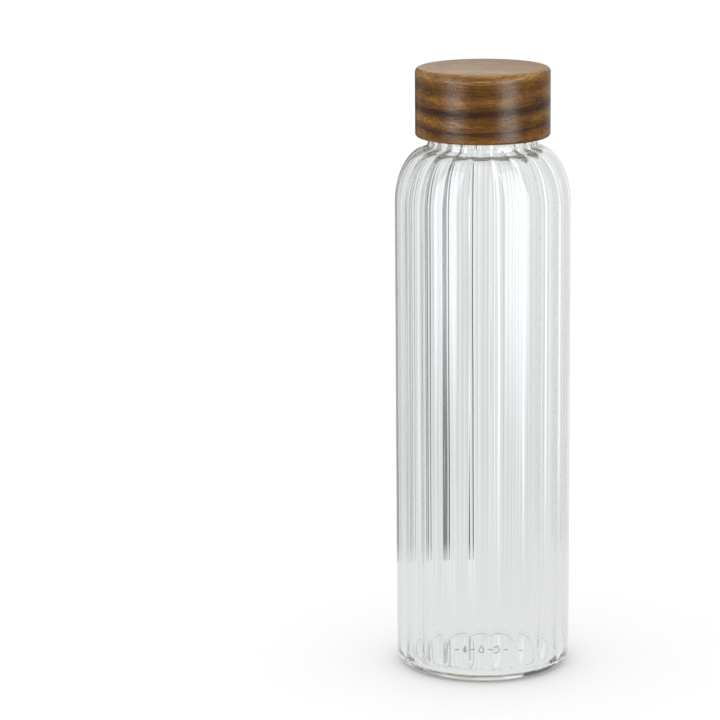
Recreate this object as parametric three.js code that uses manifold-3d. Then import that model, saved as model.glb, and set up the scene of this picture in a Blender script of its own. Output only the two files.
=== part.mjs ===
// Glass water bottle with inside flutes and a turned wooden screw cap.
// Millimetres, +Z up. The origin is the centre of the base, on the surface the bottle stands on.
// Four pieces: the blown glass body, the wooden cap shell, the threaded liner bonded inside it,
// and the flat sealing ring that the liner presses on the rim of the glass.
import * as THREE from "three";
import * as BufferGeometryUtils from "three/addons/utils/BufferGeometryUtils.js";
import Module from "manifold-3d";

const wasm = await Module();
wasm.setup();

// ---------------------------------------------------------------- driving dimensions
const TOTAL_H = 226;
const BODY_R = 32.5;
const WALL = 1.6; // at the middle of a flute, where the glass is thinnest
const CAP_R = 24.9;
const CAP_H = 25.3;
const CAP_BOTTOM_Z = TOTAL_H - CAP_H;

// Base: a flat ring to stand on, round a middle that is pushed up
const BASE_T = 2.6;
const PUNT_H = 1.4;
const FOOT_IN_R = 24.5;
const FOOT_OUT_R = 28;
const HEEL_R = BODY_R - FOOT_OUT_R;
const INNER_HEEL_R = 3.4;

// Shoulder, a quarter of an ellipse, and neck
const NECK_R = 20.2;
const SHOULDER_TOP_Z = CAP_BOTTOM_Z - 4;
const SHOULDER_H = 20.7;
const SHOULDER_FOOT_Z = SHOULDER_TOP_Z - SHOULDER_H;
const SHOULDER_WALL = 2.1;
const SHOULDER_SWEEP = 1.42; // radians of the quarter ellipse that are kept below the neck fillet
const MOUTH_R = 16.3;
const RIM_Z = TOTAL_H - 9;
const RIM_ROUND = 0.8;

// Flutes: arcs hollowed into the inside of the wall, which meet in ribs that point inwards
const FLUTES = 20;
const FLUTE_ARC_R = 8;
const FLUTE_R = BODY_R - WALL; // radius to the middle of a flute in the straight body
const FLUTE_TURN = THREE.MathUtils.degToRad(-1.75); // the front flute faces a little to the left
const COLUMNS_PER_FLUTE = 4;
const FLUTE_FULL_Z = 9;
const FLUTE_FADE_Z = CAP_BOTTOM_Z - 1.5;
const FLUTE_END_Z = CAP_BOTTOM_Z + 6.5;

// Thread: two starts, so that a short turn frees the cap
const STARTS = 2;
const LEAD = 8;
const THREAD_TURNS = 0.9;
const FINISH_R = 18.4; // outside of the glass between its ridges
const GLASS_CREST_R = 19.4;
const LINER_BORE_R = 19.9;
const LINER_CREST_R = 18.9;
const GLASS_THREAD_Z = CAP_BOTTOM_Z + 4.9;
const LINER_THREAD_Z = GLASS_THREAD_Z - 1.2; // each ridge rides just under one of the glass ridges
const RIDGE_STEPS = 36;
const RIDGE_ROOT_W = 1.7;
const RIDGE_CREST_W = 0.8;
const RIDGE_SUNK = 0.2; // how far a ridge's root lies inside the wall that carries it
const RUN_OUT = 0.16; // share of a ridge over which each end sinks into its wall
const END_SINK = 1.08; // how deep each end sinks, as a share of the ridge's height

// Cap shell, liner and seal
const SHELL_BORE_R = 21.4;
const SHELL_TOP_T = 5.5;
const SHELL_TOP_ROUND = 1.6;
const SHELL_FOOT_ROUND = 1.1;
const LINER_R = 21.25;
const LINER_TOP_T = 1.4;
const LINER_RECESS = 1.5; // how far the liner stops short of the shell's foot
const LINER_LEAD_IN = 0.5;
const BOND_GAP = 0.1;
const SEAL_T = 1.8;
const SEAL_IN_R = 15.4;
const SEAL_OUT_R = 19.6;
const SEAL_ROUND = 0.45;
const REST_GAP = 0.1;
const BEAD_R = 19.1; // the bead under the seal that keeps it in the cap
const BEAD_H = 0.9;

const LINER_TOP_Z = TOTAL_H - SHELL_TOP_T - BOND_GAP;
const LINER_FOOT_Z = CAP_BOTTOM_Z + LINER_RECESS;
const LINER_CEILING_Z = LINER_TOP_Z - LINER_TOP_T;
const SEAL_FOOT_Z = RIM_Z + REST_GAP;

// ---------------------------------------------------------------- helpers
const material = (color, roughness) => new THREE.MeshStandardMaterial({ color, roughness });
const GLASS = material(0xe4eae6, 0.05);
const WOOD = material(0x80583a, 0.55);
const LINER_PLASTIC = material(0xe9e6dc, 0.45);
const SILICONE = material(0xf1f0ea, 0.6);

const at = (r, z) => new THREE.Vector2(r, z);

// Points along an ellipse's arc, from angle a to angle b about its centre.
function arc(centre, radiusR, radiusZ, a, b, steps) {
  return new THREE.EllipseCurve(centre.x, centre.y, radiusR, radiusZ, a, b, b < a).getPoints(steps);
}

function bend(from, control, to, steps) {
  return new THREE.QuadraticBezierCurve(from, control, to).getPoints(steps);
}

function solidOf(geometry) {
  const bare = geometry.clone();
  bare.deleteAttribute("normal");
  bare.deleteAttribute("uv");
  const merged = BufferGeometryUtils.mergeVertices(bare, 1e-4);
  return new wasm.Manifold(
    new wasm.Mesh({
      numProp: 3,
      vertProperties: new Float32Array(merged.attributes.position.array),
      triVerts: new Uint32Array(merged.index.array),
    }),
  );
}

function geometryOf(solid) {
  const { vertProperties, triVerts, numProp } = solid.getMesh();
  const points = [];
  for (let i = 0; i < vertProperties.length; i += numProp) {
    points.push(...vertProperties.subarray(i, i + 3));
  }
  const geometry = new THREE.BufferGeometry();
  geometry.setAttribute("position", new THREE.Float32BufferAttribute(points, 3));
  geometry.setIndex(new THREE.Uint32BufferAttribute(triVerts, 1));
  geometry.computeVertexNormals();
  return geometry;
}

// A profile of (radius, height) points turned about +Z. Angle 0 is the front, -Y.
function turned(profile, segments = 72) {
  return new THREE.LatheGeometry(profile, segments).rotateX(Math.PI / 2);
}

function named(name, geometry, look) {
  const mesh = new THREE.Mesh(geometry, look);
  mesh.name = name;
  return mesh;
}

// ---------------------------------------------------------------- thread ridges
// One start as a helix about +Z. Its frame stays radial, so that the ridge never rolls.
class ThreadPath extends THREE.Curve {
  constructor(rootR, sunkR, startZ, startAngle) {
    super();
    Object.assign(this, { rootR, sunkR, startZ, startAngle });
  }

  angleAt(t) {
    return this.startAngle + 2 * Math.PI * THREAD_TURNS * t;
  }

  getPoint(t, target = new THREE.Vector3()) {
    const shown = THREE.MathUtils.smoothstep(Math.min(t, 1 - t), 0, RUN_OUT);
    const r = THREE.MathUtils.lerp(this.sunkR, this.rootR, shown);
    const angle = this.angleAt(t);
    const z = this.startZ + LEAD * THREAD_TURNS * t;
    return target.set(r * Math.cos(angle), r * Math.sin(angle), z);
  }

  getPointAt(t, target) {
    return this.getPoint(t, target);
  }

  computeFrenetFrames(steps) {
    const angles = Array.from({ length: steps + 1 }, (_, i) => this.angleAt(i / steps));
    return {
      tangents: angles.map((a) => new THREE.Vector3(-Math.sin(a), Math.cos(a), 0)),
      normals: angles.map((a) => new THREE.Vector3(Math.cos(a), Math.sin(a), 0)),
      binormals: angles.map(() => new THREE.Vector3(0, 0, -1)),
    };
  }
}

// A trapezium ridge that stands from a wall at rootR to a crest at crestR, outwards or inwards.
function ridge(rootR, crestR, startZ, startAngle) {
  const rise = crestR - rootR;
  const sunk = -Math.sign(rise) * RIDGE_SUNK;
  const section = new THREE.Shape([
    at(sunk, -RIDGE_ROOT_W / 2),
    at(rise, -RIDGE_CREST_W / 2),
    at(rise, RIDGE_CREST_W / 2),
    at(sunk, RIDGE_ROOT_W / 2),
  ]);
  return new THREE.ExtrudeGeometry(section, {
    steps: RIDGE_STEPS,
    extrudePath: new ThreadPath(rootR, rootR - END_SINK * rise, startZ, startAngle),
    bevelEnabled: false,
  });
}

function withThread(geometry, rootR, crestR, startZ) {
  let solid = solidOf(geometry);
  for (let i = 0; i < STARTS; i += 1) {
    solid = solid.add(solidOf(ridge(rootR, crestR, startZ, (2 * Math.PI * i) / STARTS)));
  }
  return geometryOf(solid);
}

// ---------------------------------------------------------------- glass body
// How far the inside stands in from the middle of a flute, at an angle round the body.
function ribHeight(angle) {
  const pitch = (2 * Math.PI) / FLUTES;
  const across = FLUTE_R * Math.sin(Math.abs(angle / pitch - Math.round(angle / pitch)) * pitch);
  const out = FLUTE_R - FLUTE_ARC_R + Math.sqrt(FLUTE_ARC_R ** 2 - across ** 2);
  return FLUTE_R - Math.hypot(out, across);
}

// From the middle of the base up the outside to the rim.
function outsideProfile() {
  return [
    ...bend(at(0, PUNT_H), at(FOOT_IN_R * 0.6, PUNT_H), at(FOOT_IN_R, 0), 3),
    ...arc(at(FOOT_OUT_R, HEEL_R), HEEL_R, HEEL_R, -Math.PI / 2, 0, 4),
    ...arc(at(NECK_R, SHOULDER_FOOT_Z), BODY_R - NECK_R, SHOULDER_H, 0, SHOULDER_SWEEP, 7),
    ...bend(at(NECK_R + 0.3, SHOULDER_TOP_Z + 0.5), at(NECK_R, CAP_BOTTOM_Z - 1.5),
      at(FINISH_R, CAP_BOTTOM_Z + 3.6), 3),
    ...bend(at(FINISH_R, RIM_Z - RIM_ROUND), at(FINISH_R, RIM_Z), at(FINISH_R - RIM_ROUND, RIM_Z), 2),
  ];
}

// From the rim down the inside, along the middle of a flute, to the middle of the base.
function insideProfile() {
  const shoulderR = FLUTE_R - NECK_R;
  const shoulderH = SHOULDER_H - SHOULDER_WALL;
  const shoulder = arc(at(NECK_R, SHOULDER_FOOT_Z), shoulderR, shoulderH, SHOULDER_SWEEP, 0, 5);
  const neckFoot = at(MOUTH_R, CAP_BOTTOM_Z - 0.5);
  return [
    ...bend(at(MOUTH_R + RIM_ROUND, RIM_Z), at(MOUTH_R, RIM_Z), at(MOUTH_R, RIM_Z - RIM_ROUND), 2),
    at(MOUTH_R, FLUTE_END_Z),
    ...bend(neckFoot, at(MOUTH_R, shoulder[0].y + 0.9), shoulder[0], 3),
    ...shoulder.slice(1),
    at(FLUTE_R, FLUTE_FULL_Z),
    ...arc(at(FLUTE_R - INNER_HEEL_R, BASE_T + INNER_HEEL_R), INNER_HEEL_R, INNER_HEEL_R,
      0, -Math.PI / 2, 3),
    ...bend(at(FOOT_IN_R, BASE_T), at(FOOT_IN_R * 0.6, BASE_T + PUNT_H),
      at(0, BASE_T + PUNT_H), 3),
  ];
}

function glassBody() {
  const outside = outsideProfile();
  const profile = [...outside, ...insideProfile()];
  const columns = FLUTES * COLUMNS_PER_FLUTE;
  const geometry = new THREE.LatheGeometry(profile, columns, FLUTE_TURN);
  const { position } = geometry.attributes;
  for (let i = 0; i < position.count; i += 1) {
    const row = i % profile.length;
    const { x: r, y: z } = profile[row];
    if (row >= outside.length) {
      const acrossFlutes = (2 * Math.PI * Math.floor(i / profile.length)) / columns;
      const rise = THREE.MathUtils.smoothstep(z, BASE_T, FLUTE_FULL_Z);
      const fade = 1 - THREE.MathUtils.smoothstep(z, FLUTE_FADE_Z, FLUTE_END_Z);
      const ribbed = r - ribHeight(acrossFlutes) * rise * fade * (r / FLUTE_R);
      const angle = FLUTE_TURN + acrossFlutes;
      position.setXYZ(i, ribbed * Math.sin(angle), z, ribbed * Math.cos(angle));
    }
  }
  return withThread(geometry.rotateX(Math.PI / 2), FINISH_R, GLASS_CREST_R, GLASS_THREAD_Z);
}

// ---------------------------------------------------------------- cap
function capShell() {
  const boreTopZ = TOTAL_H - SHELL_TOP_T;
  const footR = CAP_R - SHELL_FOOT_ROUND;
  return turned([
    at(0, boreTopZ),
    at(SHELL_BORE_R, boreTopZ),
    at(SHELL_BORE_R, CAP_BOTTOM_Z + 0.5),
    at(SHELL_BORE_R + 0.5, CAP_BOTTOM_Z),
    ...arc(at(footR, CAP_BOTTOM_Z + SHELL_FOOT_ROUND), SHELL_FOOT_ROUND, SHELL_FOOT_ROUND,
      -Math.PI / 2, 0, 3),
    ...arc(at(CAP_R - SHELL_TOP_ROUND, TOTAL_H - SHELL_TOP_ROUND), SHELL_TOP_ROUND,
      SHELL_TOP_ROUND, 0, Math.PI / 2, 4),
    at(0, TOTAL_H),
  ]);
}

function capLiner() {
  const beadTopZ = SEAL_FOOT_Z - REST_GAP;
  const cup = turned([
    at(0, LINER_CEILING_Z),
    at(LINER_BORE_R, LINER_CEILING_Z),
    at(LINER_BORE_R, beadTopZ),
    at(BEAD_R, beadTopZ - 0.2),
    at(BEAD_R, beadTopZ - BEAD_H + 0.3),
    at(LINER_BORE_R, beadTopZ - BEAD_H),
    at(LINER_BORE_R, LINER_FOOT_Z + LINER_LEAD_IN),
    at(LINER_BORE_R + LINER_LEAD_IN, LINER_FOOT_Z),
    at(LINER_R, LINER_FOOT_Z),
    at(LINER_R, LINER_TOP_Z),
    at(0, LINER_TOP_Z),
  ]);
  return withThread(cup, LINER_BORE_R, LINER_CREST_R, LINER_THREAD_Z);
}

function sealRing() {
  const topZ = SEAL_FOOT_Z + SEAL_T;
  const low = SEAL_FOOT_Z + SEAL_ROUND;
  const high = topZ - SEAL_ROUND;
  const outer = SEAL_OUT_R - SEAL_ROUND;
  const inner = SEAL_IN_R + SEAL_ROUND;
  const profile = [
    ...arc(at(outer, low), SEAL_ROUND, SEAL_ROUND, -Math.PI / 2, 0, 2),
    ...arc(at(outer, high), SEAL_ROUND, SEAL_ROUND, 0, Math.PI / 2, 2),
    ...arc(at(inner, high), SEAL_ROUND, SEAL_ROUND, Math.PI / 2, Math.PI, 2),
    ...arc(at(inner, low), SEAL_ROUND, SEAL_ROUND, Math.PI, 1.5 * Math.PI, 2),
  ];
  return turned([...profile, profile[0]]);
}

// ---------------------------------------------------------------- assembly
const bottle = new THREE.Group();
bottle.name = "bottle";
bottle.add(named("glass_body", glassBody(), GLASS));

const cap = new THREE.Group();
cap.name = "cap";
cap.add(named("cap_shell", capShell(), WOOD));
cap.add(named("cap_liner", capLiner(), LINER_PLASTIC));
cap.add(named("seal_ring", sealRing(), SILICONE));
bottle.add(cap);

export default bottle;
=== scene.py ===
import math

import bpy
import numpy as np
from mathutils import Euler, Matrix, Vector

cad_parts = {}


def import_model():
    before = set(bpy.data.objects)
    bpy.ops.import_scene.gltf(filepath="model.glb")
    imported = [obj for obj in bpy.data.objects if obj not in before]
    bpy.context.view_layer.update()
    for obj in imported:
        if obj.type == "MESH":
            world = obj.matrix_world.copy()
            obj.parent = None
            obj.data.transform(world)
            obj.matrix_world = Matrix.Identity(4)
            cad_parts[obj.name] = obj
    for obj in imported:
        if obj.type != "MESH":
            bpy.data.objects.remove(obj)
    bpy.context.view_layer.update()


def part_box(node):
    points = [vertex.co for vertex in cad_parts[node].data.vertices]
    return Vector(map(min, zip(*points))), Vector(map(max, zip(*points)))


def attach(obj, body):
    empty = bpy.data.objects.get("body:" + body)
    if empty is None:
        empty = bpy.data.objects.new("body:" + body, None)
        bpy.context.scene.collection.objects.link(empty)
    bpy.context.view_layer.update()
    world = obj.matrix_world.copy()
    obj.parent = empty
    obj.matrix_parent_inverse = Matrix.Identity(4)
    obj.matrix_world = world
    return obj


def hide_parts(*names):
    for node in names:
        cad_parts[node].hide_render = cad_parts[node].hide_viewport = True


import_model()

# Glass water bottle with ribs down its inside and a turned wooden screw cap.
# Lengths are millimetres until mesh_piece(), staged(), camera() and sheen_lamp() turn them into metres.
# A material works in metres, and MM turns its lengths.
MM = 0.001
rng = np.random.default_rng(11)


def box_mm(node):
    lo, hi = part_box(node)
    return np.array(lo) / MM, np.array(hi) / MM


# ---------------------------------------------------------------- sizes, from the frame
GLASS_LO, GLASS_HI = box_mm("glass_body")
SHELL_LO, SHELL_HI = box_mm("cap_shell")
LINER_LO, LINER_HI = box_mm("cap_liner")
SEAL_LO, SEAL_HI = box_mm("seal_ring")

BODY_R = min(GLASS_HI[0], GLASS_HI[1], -GLASS_LO[0], -GLASS_LO[1])
CAP_R = min(SHELL_HI[0], SHELL_HI[1])
CAP_BOTTOM_Z, CAP_TOP_Z = SHELL_LO[2], SHELL_HI[2]
RIM_Z = GLASS_HI[2]

WALL = 1.6
BASE_T = 2.6
PUNT_H = 1.4
FOOT_IN_R = 24.5
FOOT_OUT_R = 28.0
HEEL_R = BODY_R - FOOT_OUT_R
INNER_HEEL_R = 3.4
NECK_R = 20.2
SHOULDER_TOP_Z = CAP_BOTTOM_Z - 4
SHOULDER_H = 20.7
SHOULDER_FOOT_Z = SHOULDER_TOP_Z - SHOULDER_H
SHOULDER_WALL = 2.1
SHOULDER_SWEEP = 1.42
MOUTH_R = 16.3
RIM_ROUND = 0.8

FLUTES = 20
FLUTE_ARC_R = 8.0
FLUTE_R = BODY_R - WALL
FLUTE_FRONT = math.radians(-91.75)  # the middle of the front flute, as an angle from +X
HALF_FLUTE = math.pi / FLUTES
RIB_TIP = math.radians(1.0)  # half the width of the rounding on a rib's tip
FLUTE_FULL_Z = 9.0
FLUTE_FADE_Z = CAP_BOTTOM_Z - 1.5
FLUTE_END_Z = CAP_BOTTOM_Z + 6.5
COLUMNS_PER_FLUTE = 16
COLUMN_CROWDING = 0.6  # 0 spaces the columns evenly, towards 1 they crowd at the ribs

STARTS = 2
LEAD = 8.0
THREAD_TURNS = 0.9
RUN_OUT = 0.16
RIDGE_ROOT_W = 1.7
RIDGE_CREST_W = 0.8
FINISH_R = 18.4
GLASS_CREST_R = 19.4
GLASS_THREAD_Z = CAP_BOTTOM_Z + 4.9
LINER_BORE_R = 19.9
LINER_CREST_R = 18.9
LINER_THREAD_Z = GLASS_THREAD_Z - 1.2

PRINT_R = 22.0
PRINT_GAP = 0.03
DASH_W = 0.8
DROP_W = 1.1
BAR_W = 1.3
BAR_HALF_L = 2
BAR_MIDDLE_X = 8.5
FLOOR_GAP = 0.1

SHELL_BORE_R = 21.4
SHELL_TOP_T = 5.5
SHELL_TOP_ROUND = 1.6
SHELL_FOOT_ROUND = 1.1
LINER_TOP_T = 1.4
BEAD_R = 19.1
BEAD_H = 0.9
CAP_COLUMNS = 256

SEAL_IN_R = 15.4
SEAL_ROUND = 0.45
SEAL_COLUMNS = 192


# ---------------------------------------------------------------- outlines and turned meshes
def smoothstep(x, low, high):
    t = np.clip((x - low) / (high - low), 0, 1)
    return t * t * (3 - 2 * t)


def arc(centre, radius_r, radius_z, start, end, steps):
    a = np.linspace(start, end, steps + 1)
    return np.column_stack([centre[0] + radius_r * np.cos(a), centre[1] + radius_z * np.sin(a)])


def bend(start, control, end, steps):
    t = np.linspace(0, 1, steps + 1)[:, None]
    return (1 - t) ** 2 * np.array(start) + 2 * t * (1 - t) * np.array(control) + t**2 * np.array(end)


def line(start, end, steps):
    t = np.linspace(0, 1, steps + 1)[:, None]
    return (1 - t) * np.array(start) + t * np.array(end)


def outline(*stretches):
    points = np.vstack(stretches)
    moved = np.linalg.norm(np.diff(points, axis=0), axis=1) > 1e-6
    return points[np.concatenate([[True], moved])]


def even_columns(count):
    return np.linspace(0, 2 * math.pi, count, endpoint=False)


def turned(profile, columns, stand_out=None):
    """Vertices and faces of a profile turned about +Z. stand_out(angles, rows) adds to the radius.
    A profile that begins and ends on the axis gets poles, and any other closes on itself."""
    poled = profile[0, 0] < 1e-6
    rows = profile[1:-1] if poled else profile
    radius = rows[:, :1] + np.zeros((1, len(columns)))
    if stand_out is not None:
        radius = radius + stand_out(columns[None, :], rows)
    points = np.dstack([radius * np.cos(columns), radius * np.sin(columns), rows[:, 1:] + 0 * radius])
    verts = points.reshape(-1, 3)
    n, m = len(rows), len(columns)
    row = np.arange(n - 1 if poled else n)[:, None]
    col = np.arange(m)[None, :]
    above, beside = (row + 1) % n, (col + 1) % m
    corners = [row * m + col, row * m + beside, above * m + beside, above * m + col]
    faces = np.dstack(corners).reshape(-1, 4).tolist()
    if poled:
        verts = np.vstack([verts, [0, 0, profile[0, 1]], [0, 0, profile[-1, 1]]])
        around = range(m)
        last = (n - 1) * m
        faces += [[n * m, (k + 1) % m, k] for k in around]
        faces += [[n * m + 1, last + k, last + (k + 1) % m] for k in around]
    return verts, faces


def mesh_piece(name, verts, faces, look, body, node=None):
    mesh = bpy.data.meshes.new(name)
    mesh.from_pydata((np.asarray(verts) * MM).tolist(), [], faces)
    mesh.validate()
    mesh.materials.append(look)
    mesh.polygons.foreach_set("use_smooth", [True] * len(mesh.polygons))
    piece = bpy.data.objects.new(name, mesh)
    bpy.context.scene.collection.objects.link(piece)
    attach(piece, body)
    if node:
        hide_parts(node)
    return piece


# ---------------------------------------------------------------- thread
def thread_height(angles, z, start_z):
    """How far the two ridges stand from the wall that carries them, as a share of their height."""
    height = 0
    for start in range(STARTS):
        turn = ((angles / (2 * math.pi) - start / STARTS) % 1) / THREAD_TURNS
        centre = start_z + LEAD * THREAD_TURNS * turn
        flank = smoothstep(-np.abs(z - centre), -RIDGE_ROOT_W / 2, -RIDGE_CREST_W / 2)
        shown = smoothstep(np.minimum(turn, 1 - turn), 0, RUN_OUT)
        height = height + flank * shown
    return height


# ---------------------------------------------------------------- nodes
class Nodes:
    """A material's node tree, with the few node kinds that the looks below share."""

    def __init__(self, name):
        self.material = bpy.data.materials.new(name)
        self.material.use_nodes = True
        self.tree = self.material.node_tree
        self.tree.nodes.clear()
        self.output = self.add("ShaderNodeOutputMaterial")
        self.place = self.add("ShaderNodeTexCoord").outputs["Object"]

    def add(self, kind, **settings):
        node = self.tree.nodes.new(kind)
        for key, value in settings.items():
            setattr(node, key, value)
        return node

    def feed(self, socket, value):
        if isinstance(value, bpy.types.NodeSocket):
            self.tree.links.new(value, socket)
        else:
            socket.default_value = value

    def xyz(self):
        """The three coordinates of the place on the surface, in metres."""
        node = self.add("ShaderNodeSeparateXYZ")
        self.feed(node.inputs[0], self.place)
        return node.outputs

    def joined(self, x, y, z):
        node = self.add("ShaderNodeCombineXYZ")
        for socket, value in zip(node.inputs, (x, y, z)):
            self.feed(socket, value)
        return node.outputs[0]

    def math(self, operation, a, b=0.0):
        node = self.add("ShaderNodeMath", operation=operation)
        self.feed(node.inputs[0], a)
        self.feed(node.inputs[1], b)
        return node.outputs[0]

    def scaled(self, x, y, z, vector=None):
        node = self.add("ShaderNodeVectorMath", operation="MULTIPLY")
        self.feed(node.inputs[0], vector or self.place)
        self.feed(node.inputs[1], (x, y, z))
        return node.outputs[0]

    def noise(self, vector, detail=2.0, roughness=0.5):
        node = self.add("ShaderNodeTexNoise")
        self.feed(node.inputs["Vector"], vector)
        self.feed(node.inputs["Scale"], 1.0)
        self.feed(node.inputs["Detail"], detail)
        self.feed(node.inputs["Roughness"], roughness)
        return node.outputs["Fac"]

    def ramp(self, value, stops, interpolation="LINEAR"):
        node = self.add("ShaderNodeValToRGB")
        node.color_ramp.interpolation = interpolation
        elements = node.color_ramp.elements
        elements[0].position, elements[0].color = stops[0][0], (*stops[0][1], 1)
        elements[1].position, elements[1].color = stops[-1][0], (*stops[-1][1], 1)
        for position, colour in stops[1:-1]:
            elements.new(position).color = (*colour, 1)
        self.feed(node.inputs[0], value)
        return node.outputs["Color"]

    def spread(self, value, low, high, to_low, to_high):
        node = self.add("ShaderNodeMapRange")
        for socket, number in zip(node.inputs[:5], (value, low, high, to_low, to_high)):
            self.feed(socket, number)
        return node.outputs[0]

    def mixed(self, blend_type, factor, a, b):
        node = self.add("ShaderNodeMix", data_type="RGBA", blend_type=blend_type)
        self.feed(node.inputs["Factor"], factor)
        self.feed(node.inputs[6], a)
        self.feed(node.inputs[7], b)
        return node.outputs[2]

    def bump(self, height, distance, strength):
        node = self.add("ShaderNodeBump")
        self.feed(node.inputs["Height"], height)
        self.feed(node.inputs["Distance"], distance)
        self.feed(node.inputs["Strength"], strength)
        return node.outputs["Normal"]

    def light(self, colour, strength):
        node = self.add("ShaderNodeEmission")
        self.feed(node.inputs["Color"], colour)
        self.feed(node.inputs["Strength"], strength)
        return node.outputs[0]

    def surface(self, **inputs):
        node = self.add("ShaderNodeBsdfPrincipled")
        for name, value in inputs.items():
            self.feed(node.inputs[name.replace("_", " ")], value)
        return node.outputs[0]

    def finish(self, shader):
        self.tree.links.new(shader, self.output.inputs["Surface"])
        return self.material


# ---------------------------------------------------------------- looks
# the share of the light that a glass face lets by on its way to other things
FOOT_LETS_BY = 0.45
WALL_LETS_BY = 0.87


def glass_look():
    """Clear glass, faintly green where it is thick. Light on its way to other things goes straight
    through with a slight loss at each face, more in the thick foot, so the bottle has a soft shadow."""
    n = Nodes("glass")
    flow = n.noise(n.scaled(60, 60, 5), detail=1.0, roughness=0.4)
    glass = n.surface(
        Base_Color=(0.97, 0.975, 0.97, 1),
        Roughness=n.spread(flow, 0.3, 0.7, 0.0, 0.004),
        IOR=1.5,
        Transmission_Weight=1.0,
        Normal=n.bump(flow, 0.00003, 0.25),
    )
    through = n.add("ShaderNodeBsdfTransparent")
    z = n.xyz()[2]
    n.feed(through.inputs["Color"], n.spread(z, 1 * MM, 8 * MM, FOOT_LETS_BY, WALL_LETS_BY))
    rays = n.add("ShaderNodeLightPath").outputs
    shader = glass
    for kind in ("Is Shadow Ray", "Is Diffuse Ray"):
        mix = n.add("ShaderNodeMixShader")
        n.feed(mix.inputs[0], rays[kind])
        n.feed(mix.inputs[1], shader)
        n.feed(mix.inputs[2], through.outputs[0])
        shader = mix.outputs[0]
    depth = n.add("ShaderNodeVolumeAbsorption")
    n.feed(depth.inputs["Color"], (0.72, 0.84, 0.42, 1))
    n.feed(depth.inputs["Density"], 2.8)
    n.feed(n.output.inputs["Volume"], depth.outputs[0])
    return n.finish(shader)


STRAW = (0.30, 0.165, 0.055)
HONEY = (0.174, 0.077, 0.011)
BROWN = (0.104, 0.042, 0.005)
UMBER = (0.050, 0.016, 0.004)
# shares of the cap's height, and the wood's colour there
GROWTH_BANDS = [
    (0.00, BROWN), (0.12, HONEY), (0.19, BROWN), (0.235, UMBER), (0.275, BROWN),
    (0.36, HONEY), (0.45, BROWN), (0.50, UMBER), (0.54, UMBER), (0.59, BROWN),
    (0.70, HONEY), (0.82, BROWN), (0.92, HONEY), (1.00, STRAW), (1.10, HONEY),
]


def wood_look():
    """Oiled acacia. The grain runs along X, and two dark growth bands cross the front nearly level.
    The top face is painted paler, a painted sheen that stands for light glancing off it."""
    n = Nodes("wood")
    x, y, z = n.xyz()
    bow = n.noise(n.scaled(14, 45, 45), detail=2.0)
    lean = n.math("ADD", n.math("MULTIPLY", x, 0.030), n.math("MULTIPLY", y, 0.075))
    layer = n.math("SUBTRACT", z, lean)
    layer = n.math("ADD", layer, n.math("MULTIPLY", n.math("SUBTRACT", bow, 0.5), 0.0030))
    height = n.spread(layer, CAP_BOTTOM_Z * MM, CAP_TOP_Z * MM, 0.1, 0.9)
    grain = n.joined(x, y, layer)

    colour = n.ramp(height, [(0.1 + 0.8 * share, shade) for share, shade in GROWTH_BANDS], "EASE")
    streaks = n.noise(n.scaled(16, 110, 420, grain), detail=3.0, roughness=0.6)
    lines = n.noise(n.scaled(34, 700, 1700, grain), detail=2.0, roughness=0.6)
    fibres = n.noise(n.scaled(200, 3600, 3600, grain), detail=3.0, roughness=0.7)
    patches = n.noise(n.scaled(60, 60, 30), detail=2.0)
    for pattern, dark, light in (
        (streaks, (0.60, 0.54, 0.48), (1.35, 1.38, 1.42)),
        (lines, (0.70, 0.66, 0.60), (1.28, 1.30, 1.30)),
        (fibres, (0.60, 0.56, 0.50), (1.34, 1.36, 1.36)),
        (patches, (0.82, 0.78, 0.74), (1.20, 1.22, 1.24)),
    ):
        colour = n.mixed("MULTIPLY", 1.0, colour, n.ramp(pattern, [(0.32, dark), (0.68, light)]))

    pores = n.noise(n.scaled(520, 5600, 5600, grain), detail=1.0)
    pore = n.spread(pores, 0.62, 0.68, 0.0, 1.0)
    colour = n.mixed("MIX", n.math("MULTIPLY", pore, 0.60), colour, (0.030, 0.011, 0.006, 1))
    # painted sheen: the top face is mixed a little towards a pale tan, as light glancing off it would
    # show it
    painted_top_sheen = n.spread(z, (CAP_TOP_Z - 0.45) * MM, (CAP_TOP_Z - 0.05) * MM, 0.0, 0.10)
    colour = n.mixed("MIX", painted_top_sheen, colour, (0.44, 0.35, 0.24, 1))
    relief = n.math("SUBTRACT", n.math("MULTIPLY", fibres, 0.5), n.math("MULTIPLY", pore, 0.7))
    return n.finish(
        n.surface(
            Base_Color=colour,
            Roughness=n.spread(lines, 0.3, 0.7, 0.23, 0.34),
            Normal=n.bump(relief, 0.00008, 0.5),
            Specular_IOR_Level=0.08,
        )
    )


def liner_look():
    n = Nodes("liner_plastic")
    flow = n.noise(n.scaled(160, 160, 60), detail=3.0)
    grain = n.noise(n.scaled(2600, 2600, 2600), detail=2.0)
    return n.finish(
        n.surface(
            Base_Color=n.ramp(flow, [(0.3, (0.74, 0.72, 0.66)), (0.7, (0.82, 0.80, 0.75))]),
            Roughness=n.spread(grain, 0.3, 0.7, 0.36, 0.50),
            Subsurface_Weight=0.15,
            Subsurface_Scale=0.002,
            Normal=n.bump(grain, 0.00002, 0.4),
        )
    )


def silicone_look():
    n = Nodes("silicone")
    cloud = n.noise(n.scaled(240, 240, 240), detail=3.0)
    dust = n.noise(n.scaled(3800, 3800, 3800), detail=2.0)
    return n.finish(
        n.surface(
            Base_Color=n.ramp(cloud, [(0.3, (0.76, 0.76, 0.73)), (0.7, (0.86, 0.86, 0.84))]),
            Roughness=n.spread(dust, 0.3, 0.7, 0.52, 0.68),
            Subsurface_Weight=0.3,
            Subsurface_Scale=0.002,
            Normal=n.bump(dust, 0.00002, 0.5),
        )
    )


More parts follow.
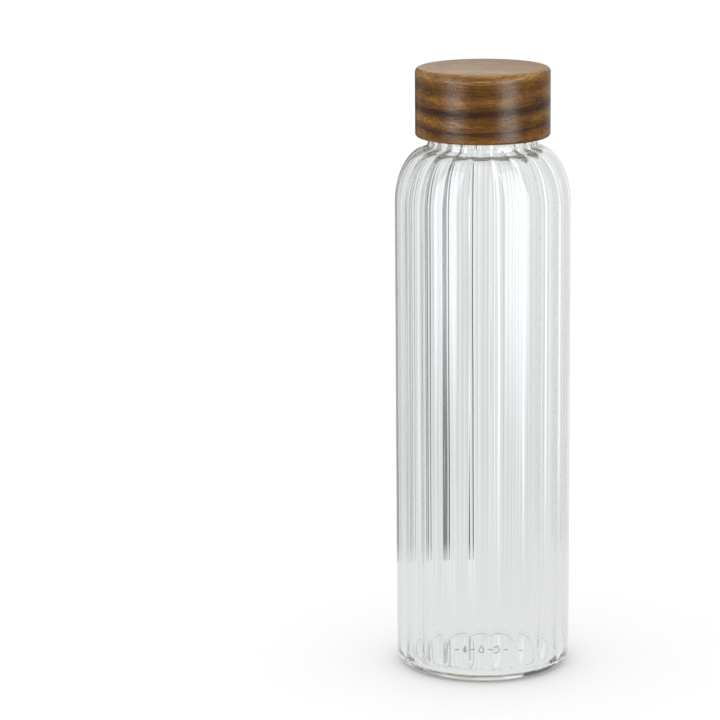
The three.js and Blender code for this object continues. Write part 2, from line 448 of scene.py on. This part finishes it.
def ink_look():
    n = Nodes("ink")
    speck = n.noise(n.scaled(3000, 3000, 3000), detail=2.0)
    return n.finish(
        n.surface(
            Base_Color=n.ramp(speck, [(0.3, (0.05, 0.05, 0.055)), (0.7, (0.12, 0.12, 0.13))]),
            Roughness=n.spread(speck, 0.3, 0.7, 0.45, 0.60),
        )
    )


# ---------------------------------------------------------------- glass body
def rib_height(angles):
    off = (angles - FLUTE_FRONT + HALF_FLUTE) % (2 * HALF_FLUTE) - HALF_FLUTE
    from_tip = HALF_FLUTE - np.abs(off)
    rounded = HALF_FLUTE - np.sqrt(from_tip**2 + RIB_TIP**2)
    across = FLUTE_R * np.sin(np.maximum(rounded, 0))
    out = FLUTE_R - FLUTE_ARC_R + np.sqrt(FLUTE_ARC_R**2 - across**2)
    return FLUTE_R - np.hypot(out, across)


def glass_outside():
    neck_foot = (FINISH_R, CAP_BOTTOM_Z + 3.6)
    return outline(
        bend((0, PUNT_H), (FOOT_IN_R * 0.6, PUNT_H), (FOOT_IN_R, 0), 16),
        arc((FOOT_OUT_R, HEEL_R), HEEL_R, HEEL_R, -math.pi / 2, 0, 14),
        line((BODY_R, HEEL_R), (BODY_R, SHOULDER_FOOT_Z), 30),
        arc((NECK_R, SHOULDER_FOOT_Z), BODY_R - NECK_R, SHOULDER_H, 0, SHOULDER_SWEEP, 30),
        bend((NECK_R + 0.3, SHOULDER_TOP_Z + 0.5), (NECK_R, CAP_BOTTOM_Z - 1.5), neck_foot, 14),
        line(neck_foot, (FINISH_R, RIM_Z - RIM_ROUND), 60),
        bend((FINISH_R, RIM_Z - RIM_ROUND), (FINISH_R, RIM_Z), (FINISH_R - RIM_ROUND, RIM_Z), 6),
    )


def glass_inside():
    shoulder = arc(
        (NECK_R, SHOULDER_FOOT_Z), FLUTE_R - NECK_R, SHOULDER_H - SHOULDER_WALL, SHOULDER_SWEEP, 0, 30
    )
    neck_foot = (MOUTH_R, CAP_BOTTOM_Z - 0.5)
    heel = (FLUTE_R - INNER_HEEL_R, BASE_T + INNER_HEEL_R)
    return outline(
        bend((MOUTH_R + RIM_ROUND, RIM_Z), (MOUTH_R, RIM_Z), (MOUTH_R, RIM_Z - RIM_ROUND), 6),
        line((MOUTH_R, RIM_Z - RIM_ROUND), (MOUTH_R, FLUTE_END_Z), 6),
        line((MOUTH_R, FLUTE_END_Z), neck_foot, 12),
        bend(neck_foot, (MOUTH_R, shoulder[0, 1] + 0.9), shoulder[0], 16),
        shoulder,
        line((FLUTE_R, SHOULDER_FOOT_Z), (FLUTE_R, FLUTE_FULL_Z), 30),
        line((FLUTE_R, FLUTE_FULL_Z), (FLUTE_R, heel[1]), 3),
        arc(heel, INNER_HEEL_R, INNER_HEEL_R, 0, -math.pi / 2, 16),
        bend((FOOT_IN_R, BASE_T), (FOOT_IN_R * 0.6, BASE_T + PUNT_H), (0, BASE_T + PUNT_H), 12),
    )


def glass_columns():
    """Column angles that crowd at the ribs, where the inside turns sharply."""
    share = even_columns(COLUMNS_PER_FLUTE)
    in_flute = (share - COLUMN_CROWDING * np.sin(share)) / (2 * math.pi)
    flute = np.arange(FLUTES)[:, None] - 0.5
    return (FLUTE_FRONT + 2 * HALF_FLUTE * (flute + in_flute[None, :])).ravel()


def ripple(angles, z, seed):
    """The slow unevenness of blown glass, a few hundredths of a millimetre."""
    draw = np.random.default_rng(seed)
    total = 0
    for lobes in (2, 3, 5, 8):
        turn, rise, drift = draw.uniform(0, 2 * math.pi, 3)
        total = total + np.sin(lobes * angles + turn + np.sin(z / 37 + rise)) * np.cos(z / 23 + drift)
    return total / 4


def glass_stand_out(angles, rows):
    """The inside's rows follow the outside's. Ridges stand on the outside, and ribs on the inside."""
    z = rows[:, 1:]
    outside_rows = len(glass_outside()) - 1
    inside = (np.arange(len(rows)) >= outside_rows)[:, None]
    in_wall = smoothstep(z, 15, 30) * (1 - smoothstep(z, SHOULDER_FOOT_Z, SHOULDER_TOP_Z))
    ridges = (GLASS_CREST_R - FINISH_R) * thread_height(angles, z, GLASS_THREAD_Z)
    rise = smoothstep(z, BASE_T, FLUTE_FULL_Z)
    fade = 1 - smoothstep(z, FLUTE_FADE_Z, FLUTE_END_Z)
    uneven = 1 + 0.10 * ripple(angles, z, 5)
    ribs = rib_height(angles) * rise * fade * rows[:, :1] / FLUTE_R * uneven
    return np.where(inside, -ribs + 0.03 * in_wall * ripple(angles, z, 3), ridges)


def glass_body(look):
    profile = np.vstack([glass_outside(), glass_inside()])
    verts, faces = turned(profile, glass_columns(), glass_stand_out)
    return mesh_piece("bottle_glass", verts, faces, look, "bottle", "glass_body")


def base_print(look):
    """A ring of short dashes and a plain drop, printed under the base and read through the glass."""
    under = bend((0, PUNT_H), (FOOT_IN_R * 0.6, PUNT_H), (FOOT_IN_R, 0), 60)
    verts, faces = [], []

    def stroke(path, width):
        path = np.asarray(path, dtype=float)
        along = np.gradient(path, axis=0)
        across = np.column_stack([-along[:, 1], along[:, 0]])
        across *= width / 2 / np.linalg.norm(across, axis=1)[:, None]
        start = len(verts)
        for side in (path - across, path + across):
            z = np.interp(np.hypot(side[:, 0], side[:, 1]), under[:, 0], under[:, 1]) - PRINT_GAP
            verts.extend(np.column_stack([side, z]).tolist())
        n = len(path)
        faces.extend([[start + i, start + i + 1, start + n + i + 1, start + n + i] for i in range(n - 1)])

    at = 0.0
    while at < 2 * math.pi - 0.08:
        length = rng.uniform(0.025, 0.075)
        a = np.linspace(at, at + length, 5)
        stroke(np.column_stack([PRINT_R * np.cos(a), PRINT_R * np.sin(a)]), DASH_W)
        at += length + rng.uniform(0.03, 0.05) + (0.14 if rng.random() < 0.15 else 0)
    a = np.linspace(0, 2 * math.pi, 33)
    drop = np.column_stack([3.0 * np.sin(a) * np.sin(a / 2) ** 1.5, 4.2 * np.cos(a) + 0.4])
    stroke(drop, DROP_W)
    for x in (-BAR_MIDDLE_X, BAR_MIDDLE_X):
        stroke([(x - BAR_HALF_L, 0), (x, 0), (x + BAR_HALF_L, 0)], BAR_W)
    return mesh_piece("base_print", verts, faces, look, "bottle")


# ---------------------------------------------------------------- cap
def cap_wood(look):
    bore_top = CAP_TOP_Z - SHELL_TOP_T
    bore_foot = (SHELL_BORE_R, CAP_BOTTOM_Z + 0.5)
    foot = (CAP_R - SHELL_FOOT_ROUND, CAP_BOTTOM_Z + SHELL_FOOT_ROUND)
    top = (CAP_R - SHELL_TOP_ROUND, CAP_TOP_Z - SHELL_TOP_ROUND)
    profile = outline(
        line((0, bore_top), (SHELL_BORE_R - 0.4, bore_top), 6),
        arc((SHELL_BORE_R - 0.4, bore_top - 0.4), 0.4, 0.4, math.pi / 2, 0, 4),
        line((SHELL_BORE_R, bore_top - 0.4), bore_foot, 8),
        bend(bore_foot, (SHELL_BORE_R, CAP_BOTTOM_Z), (SHELL_BORE_R + 0.5, CAP_BOTTOM_Z), 4),
        arc(foot, SHELL_FOOT_ROUND, SHELL_FOOT_ROUND, -math.pi / 2, 0, 10),
        line((CAP_R, foot[1]), (CAP_R, top[1]), 20),
        arc(top, SHELL_TOP_ROUND, SHELL_TOP_ROUND, 0, math.pi / 2, 12),
        line((top[0], CAP_TOP_Z), (0, CAP_TOP_Z), 16),
    )
    verts, faces = turned(profile, even_columns(CAP_COLUMNS))
    return mesh_piece("cap_wood", verts, faces, look, "cap", "cap_shell")


def cap_liner(look):
    foot, top = LINER_LO[2], LINER_HI[2]
    ceiling = top - LINER_TOP_T
    bead_top, bead_foot = RIM_Z, RIM_Z - BEAD_H
    bead = (BEAD_R, RIM_Z - BEAD_H / 2)
    outer_r = min(LINER_HI[0], LINER_HI[1])
    profile = outline(
        line((0, ceiling), (LINER_BORE_R - 0.3, ceiling), 6),
        bend((LINER_BORE_R - 0.3, ceiling), (LINER_BORE_R, ceiling), (LINER_BORE_R, ceiling - 0.3), 4),
        line((LINER_BORE_R, ceiling - 0.3), (LINER_BORE_R, bead_top), 4),
        bend((LINER_BORE_R, bead_top), (bead[0], bead_top), bead, 5),
        bend(bead, (bead[0], bead_foot), (LINER_BORE_R, bead_foot), 5),
        line((LINER_BORE_R, bead_foot), (LINER_BORE_R, foot + 0.5), 80),
        bend((LINER_BORE_R, foot + 0.5), (LINER_BORE_R + 0.1, foot), (LINER_BORE_R + 0.5, foot), 4),
        line((LINER_BORE_R + 0.5, foot), (outer_r - 0.2, foot), 2),
        bend((outer_r - 0.2, foot), (outer_r, foot), (outer_r, foot + 0.2), 3),
        line((outer_r, foot + 0.2), (outer_r, top - 0.3), 8),
        bend((outer_r, top - 0.3), (outer_r, top), (outer_r - 0.3, top), 4),
        line((outer_r - 0.3, top), (0, top), 6),
    )

    def ridges(angles, rows):
        on_bore = np.abs(rows[:, :1] - LINER_BORE_R) < 1e-3
        height = thread_height(angles, rows[:, 1:], LINER_THREAD_Z)
        return np.where(on_bore, (LINER_CREST_R - LINER_BORE_R) * height, 0)

    verts, faces = turned(profile, even_columns(CAP_COLUMNS), ridges)
    return mesh_piece("cap_thread_liner", verts, faces, look, "cap", "cap_liner")


def seal_ring(look):
    low, high = SEAL_LO[2], SEAL_HI[2]
    inner, outer, r = SEAL_IN_R, min(SEAL_HI[0], SEAL_HI[1]), SEAL_ROUND
    profile = outline(
        arc((outer - r, low + r), r, r, -math.pi / 2, 0, 6),
        arc((outer - r, high - r), r, r, 0, math.pi / 2, 6),
        line((outer - r, high), (inner + r, high), 4),
        arc((inner + r, high - r), r, r, math.pi / 2, math.pi, 6),
        arc((inner + r, low + r), r, r, math.pi, 1.5 * math.pi, 6),
        line((inner + r, low), (outer - r - 0.4, low), 4),
    )
    verts, faces = turned(profile, even_columns(SEAL_COLUMNS))
    return mesh_piece("seal", verts, faces, look, "seal", "seal_ring")


# ---------------------------------------------------------------- camera, floor and light
CAMERA_AWAY = 1200.0
CAMERA_HEIGHT = 386.0
CAMERA_PITCH = 12.67
CAMERA_YAW = 2.19
CAMERA_ROLL = -0.48
LENS = 164.6

FLOOR_R = 12000.0
WORLD_STRENGTH = 1.15
PLAIN_R = 45.0
WALL_AWAY = 330.0
WALL_TOP = 600.0
FLOOR_IN_GLASS_R = 400.0
FLOOR_GREY = (0.80, 0.805, 0.815)
BAY_DARK = (0.60, 0.61, 0.60)
BAY_LIGHT = (1.08, 1.12, 1.20)
BAYS = 2.6
BAY_PATTERN = 7.3
SOFTBOX_AWAY = 320.0
SOFTBOX_HALF_ANGLE = 16
SOFTBOX_ANGLES = {"left": -138, "right": -46}
SHEEN_W, SHEEN_H = 150.0, 220.0
SHEEN_RADIANCE = 32.0
FLAG_STOPS = [(105.5, 136), (117, 142), (129, 150)]


def camera():
    data = bpy.data.cameras.new("camera")
    data.sensor_width = 36
    data.lens = LENS
    data.clip_end = 50
    eye = bpy.data.objects.new("camera", data)
    eye.location = Vector((0, -CAMERA_AWAY, CAMERA_HEIGHT)) * MM
    swing = Euler((0, 0, math.radians(CAMERA_YAW))).to_matrix()
    tilt = Euler((math.radians(90 - CAMERA_PITCH), 0, 0)).to_matrix()
    roll = Euler((0, 0, math.radians(CAMERA_ROLL))).to_matrix()
    eye.rotation_euler = (swing @ tilt @ roll).to_euler()
    bpy.context.scene.collection.objects.link(eye)
    bpy.context.scene.camera = eye


def staged(name, verts, faces, look, seen_in_glass_only=False):
    mesh = bpy.data.meshes.new(name)
    mesh.from_pydata((np.array(verts) * MM).tolist(), [], faces)
    mesh.materials.append(look)
    sheet = bpy.data.objects.new(name, mesh)
    if seen_in_glass_only:
        sheet.visible_camera = False
        sheet.visible_diffuse = False
        sheet.visible_shadow = False
    bpy.context.scene.collection.objects.link(sheet)
    return sheet


def floor():
    n = Nodes("floor")
    shade = n.noise(n.scaled(3, 3, 3), detail=1.0)
    look = n.finish(
        n.surface(
            Base_Color=n.ramp(shade, [(0.3, (0.88, 0.88, 0.88)), (0.7, (0.90, 0.90, 0.90))]),
            Roughness=0.7,
            Specular_IOR_Level=0.1,
        )
    )
    r, z = FLOOR_R, -FLOOR_GAP
    staged("floor", [(-r, -r, z), (r, -r, z), (r, r, z), (-r, r, z)], [(0, 1, 2, 3)], look)


def glow(name, colour, *stops):
    """Light that changes with height. The stops are heights in mm and shares of the full strength."""
    n = Nodes(name)
    height = n.spread(n.xyz()[2], 0, WALL_TOP * MM, 0, 1)
    shares = [(z / WALL_TOP, (share, share, share)) for z, share in stops]
    return n.finish(n.light((*colour, 1), n.ramp(height, shares, "EASE")))


def surround_look():
    """Grey near the bottle. Further out it breaks up into soft light and dark bays round the bottle."""
    n = Nodes("surround")
    x, y, z = n.xyz()
    away = n.math("SQRT", n.math("ADD", n.math("MULTIPLY", x, x), n.math("MULTIPLY", y, y)))
    heading = n.joined(n.math("DIVIDE", x, away), n.math("DIVIDE", y, away), BAY_PATTERN)
    bays = n.noise(n.scaled(BAYS, BAYS, 1, heading), detail=1.0)
    light = n.ramp(bays, [(0.36, BAY_DARK), (0.50, FLOOR_GREY), (0.62, BAY_LIGHT)], "EASE")
    far = n.spread(away, PLAIN_R * MM, WALL_AWAY * MM, 0, 1)
    colour = n.mixed("MIX", far, (*FLOOR_GREY, 1), light)
    return n.finish(n.light(colour, n.spread(z, 0, 200 * MM, 1.0, 1.12)))


def places(*stops):
    """Places on the floor, each given by an angle from +X and a distance."""
    headings = [(math.radians(angle), away) for angle, away in stops]
    return [(away * math.cos(a), away * math.sin(a)) for a, away in headings]


def panel(name, stops, low, high, look):
    """An upright studio panel that stands on a row of places."""
    spots = places(*stops)
    n = len(spots)
    verts = [(*spot, z) for z in (low, high) for spot in spots]
    faces = [(i, i + 1, n + i + 1, n + i) for i in range(n - 1)]
    return staged(name, verts, faces, look, True)


def sheen_lamp(name, angle, wooden):
    """A lamp for the gloss of the cap's side alone. It ends below the cap's top and does not reach it."""
    data = bpy.data.lights.new(name, "AREA")
    data.shape = "RECTANGLE"
    data.size, data.size_y = SHEEN_W * MM, SHEEN_H * MM
    data.energy = SHEEN_RADIANCE * math.pi * data.size * data.size_y
    lamp = bpy.data.objects.new(name, data)
    (spot,) = places((angle, SOFTBOX_AWAY))
    lamp.location = Vector((*spot, SHEEN_H / 2)) * MM
    lamp.rotation_euler = (math.radians(90), 0, math.radians(angle + 90))
    for kind in ("camera", "diffuse", "transmission"):
        setattr(lamp, f"visible_{kind}", False)
    lamp.light_linking.receiver_collection = wooden
    bpy.context.scene.collection.objects.link(lamp)


def surroundings(glassy, wooden):
    """What only the glass and the gloss of the cap show: a grey floor, a wall of soft light and dark
    bays round it, a softbox on each side of the camera, and a narrow dark flag behind to the left."""
    r, z = FLOOR_IN_GLASS_R, -FLOOR_GAP / 2
    look = surround_look()
    staged("floor_in_glass", [(-r, -r, z), (r, -r, z), (r, r, z), (-r, r, z)], [(0, 1, 2, 3)], look, True)
    panel("wall_in_glass", [(angle, WALL_AWAY) for angle in range(0, 361, 5)], 0, WALL_TOP, look)
    softbox = glow("softbox", (5.6, 5.8, 6.3), (0, 0.15), (110, 1), (200, 1), (WALL_TOP, 0.6))
    for side, middle in SOFTBOX_ANGLES.items():
        edges = (middle - SOFTBOX_HALF_ANGLE, middle, middle + SOFTBOX_HALF_ANGLE)
        stops = [(angle, SOFTBOX_AWAY) for angle in edges]
        sheet = panel(f"softbox_{side}", stops, 0, WALL_TOP, softbox)
        sheet.visible_transmission = False
        sheet.light_linking.receiver_collection = glassy
        sheen_lamp(f"sheen_{side}", middle, wooden)
    dark = glow("dark", (0.5, 0.5, 0.5), (0, 1), (9, 0.10), (WALL_TOP, 0.10))
    panel("dark_flag", FLAG_STOPS, 0, WALL_TOP, dark)


def world():
    scene_world = bpy.data.worlds.new("studio")
    scene_world.use_nodes = True
    background = scene_world.node_tree.nodes["Background"]
    background.inputs["Color"].default_value = (1, 1, 1, 1)
    background.inputs["Strength"].default_value = WORLD_STRENGTH
    bpy.context.scene.world = scene_world


def group(name, piece):
    """A collection that a lamp can be limited to."""
    collection = bpy.data.collections.new(name)
    collection.objects.link(piece)
    return collection


camera()
floor()
world()

glassy = group("glassy", glass_body(glass_look()))
base_print(ink_look())
wooden = group("wooden", cap_wood(wood_look()))
cap_liner(liner_look())
seal_ring(silicone_look())
surroundings(glassy, wooden)

scene = bpy.context.scene
scene.view_settings.view_transform = "Standard"
scene.view_settings.look = "None"
scene.cycles.max_bounces = 32
scene.cycles.transmission_bounces = 32
scene.cycles.glossy_bounces = 32
scene.cycles.transparent_max_bounces = 32
scene.cycles.blur_glossy = 0.0
